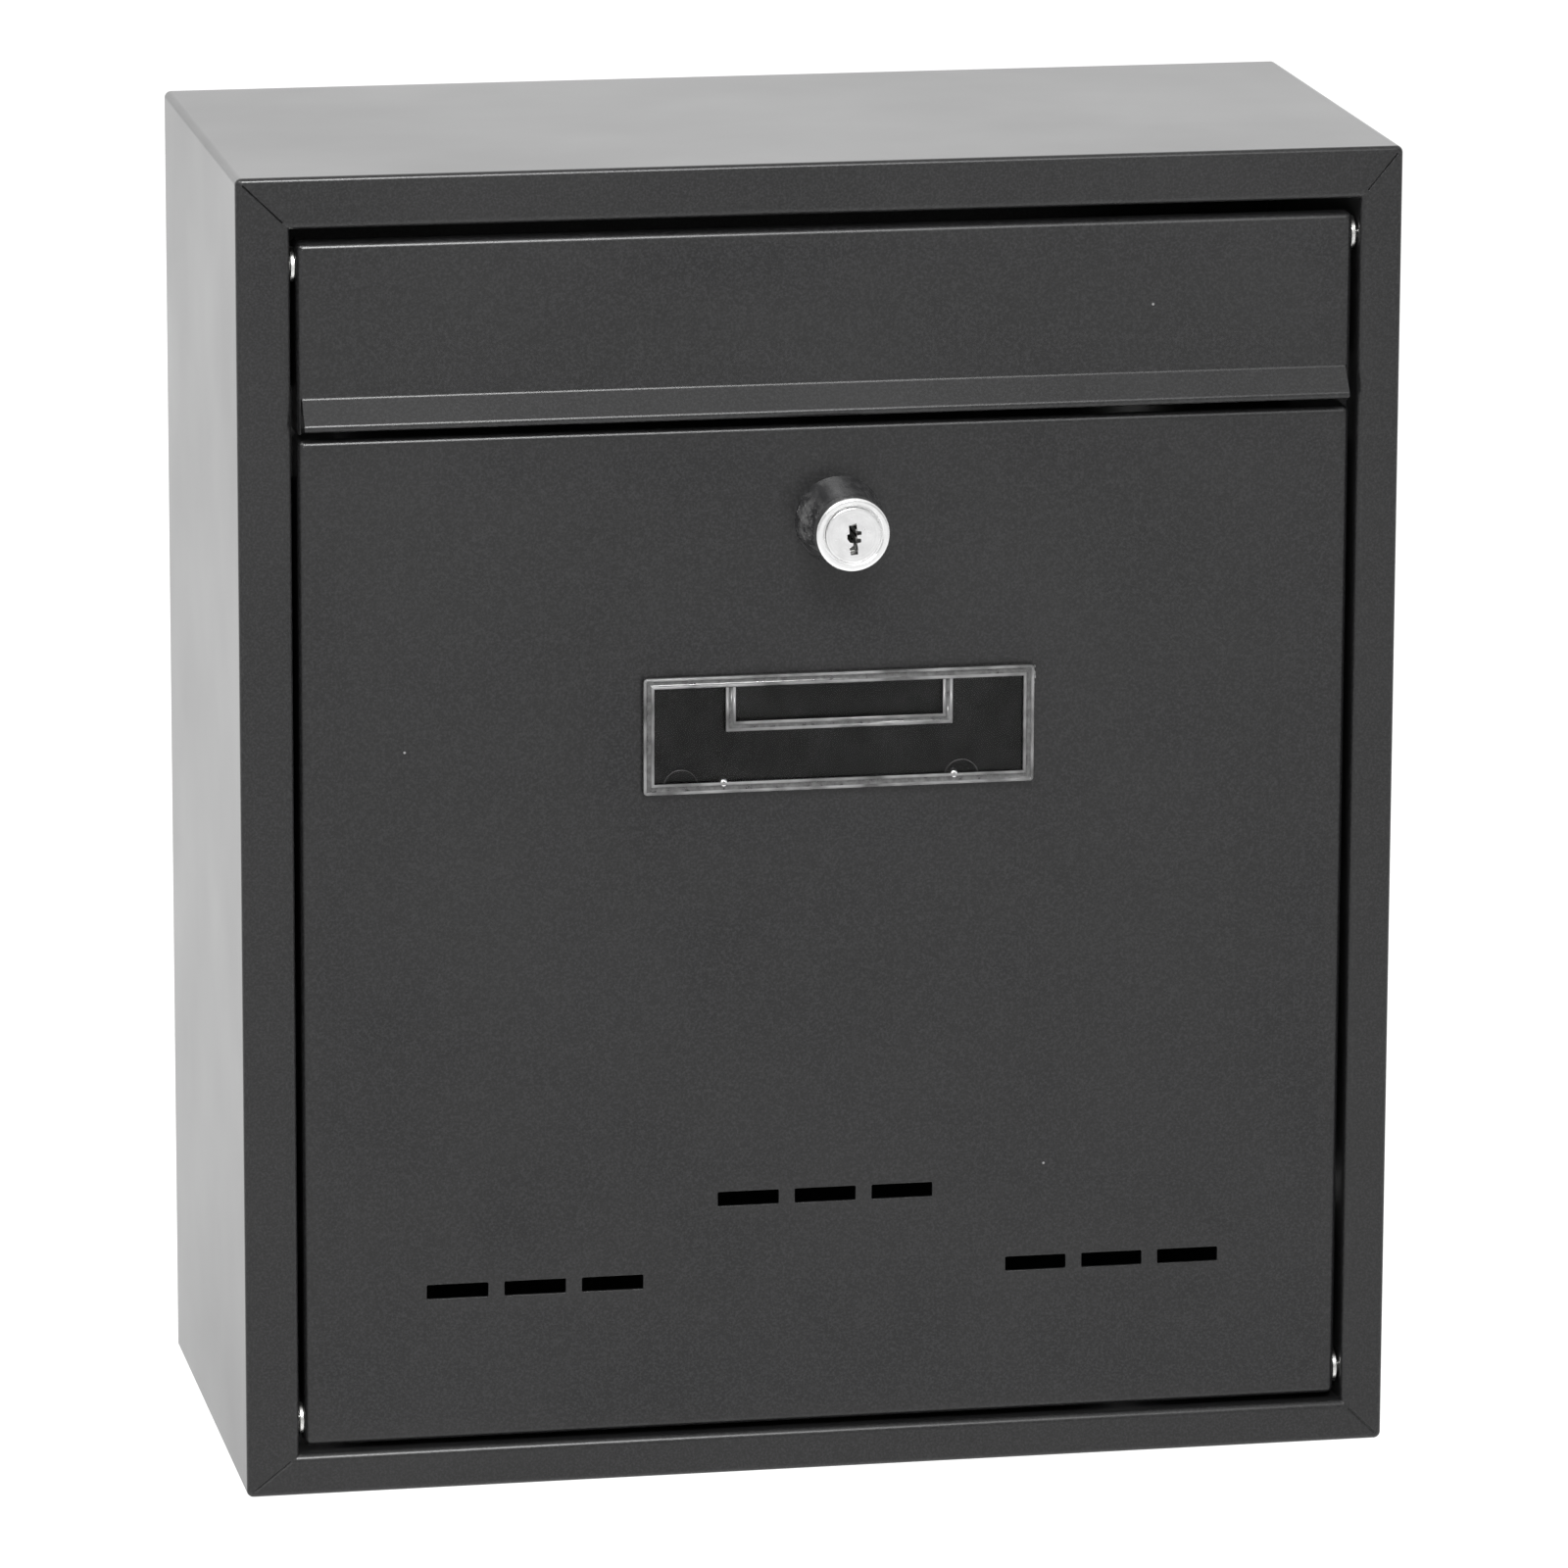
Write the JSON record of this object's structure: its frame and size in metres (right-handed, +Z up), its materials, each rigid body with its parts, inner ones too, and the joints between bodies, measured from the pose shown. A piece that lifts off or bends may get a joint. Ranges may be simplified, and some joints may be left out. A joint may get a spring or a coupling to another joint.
{
  "type": "wall mounted mailbox",
  "caption": "Flat-fronted sheet steel wall mailbox with a top-hinged letter flap, a bottom-hinged door with vent slots, a cam lock and a clear card holder.",
  "frame": {"origin": "centre of the four wall holes, on the outer face of the back panel", "axes": "+X to the right of someone facing the box, +Y into the wall, +Z up"},
  "size_m": [0.31, 0.1611, 0.355],
  "materials": {
    "powder_coat": "semi-gloss anthracite powder coat with a very fine texture",
    "zinc_steel": "bright zinc plating",
    "chrome": "polished chrome plating, lightly scratched on the face",
    "dark_plastic": "glossy dark moulding",
    "clear_plastic": "clear moulding with polished faces and brighter edges"
  },
  "bodies": {
    "box": {"body_shell": "powder_coat", "back_panel": "powder_coat", "cross_rail": "powder_coat"},
    "flap": {"flap_panel": "powder_coat", "flap_pin_left": "zinc_steel", "flap_pin_right": "zinc_steel", "flap_washer_left": "zinc_steel", "flap_washer_right": "zinc_steel"},
    "door": {"door_panel": "powder_coat", "door_pin_left": "zinc_steel", "door_pin_right": "zinc_steel", "door_washer_left": "zinc_steel", "door_washer_right": "zinc_steel", "card_holder": "clear_plastic", "lock_collar": "dark_plastic", "lock_housing": "chrome", "lock_washer": "zinc_steel", "lock_nut": "zinc_steel"},
    "plug": {"lock_plug": "chrome", "lock_wafers": "zinc_steel", "lock_cam": "zinc_steel", "cam_washer": "zinc_steel", "cam_screw": "zinc_steel"}
  },
  "joints": [
    {"name": "flap_hinge", "type": "hinge", "parent": "box", "child": "flap", "pos_m": [0, -0.1355, 0.1535], "axis": [-1, 0, 0], "range_deg": [0, 115]},
    {"name": "door_hinge", "type": "hinge", "parent": "box", "child": "door", "pos_m": [0, -0.1355, -0.1582], "axis": [1, 0, 0], "range_deg": [0, 105]},
    {"name": "lock_turn", "type": "hinge", "parent": "door", "child": "plug", "pos_m": [0.0043, -0.143, 0.0819], "axis": [0, 1, 0], "range_deg": [0, 90]}
  ]
}
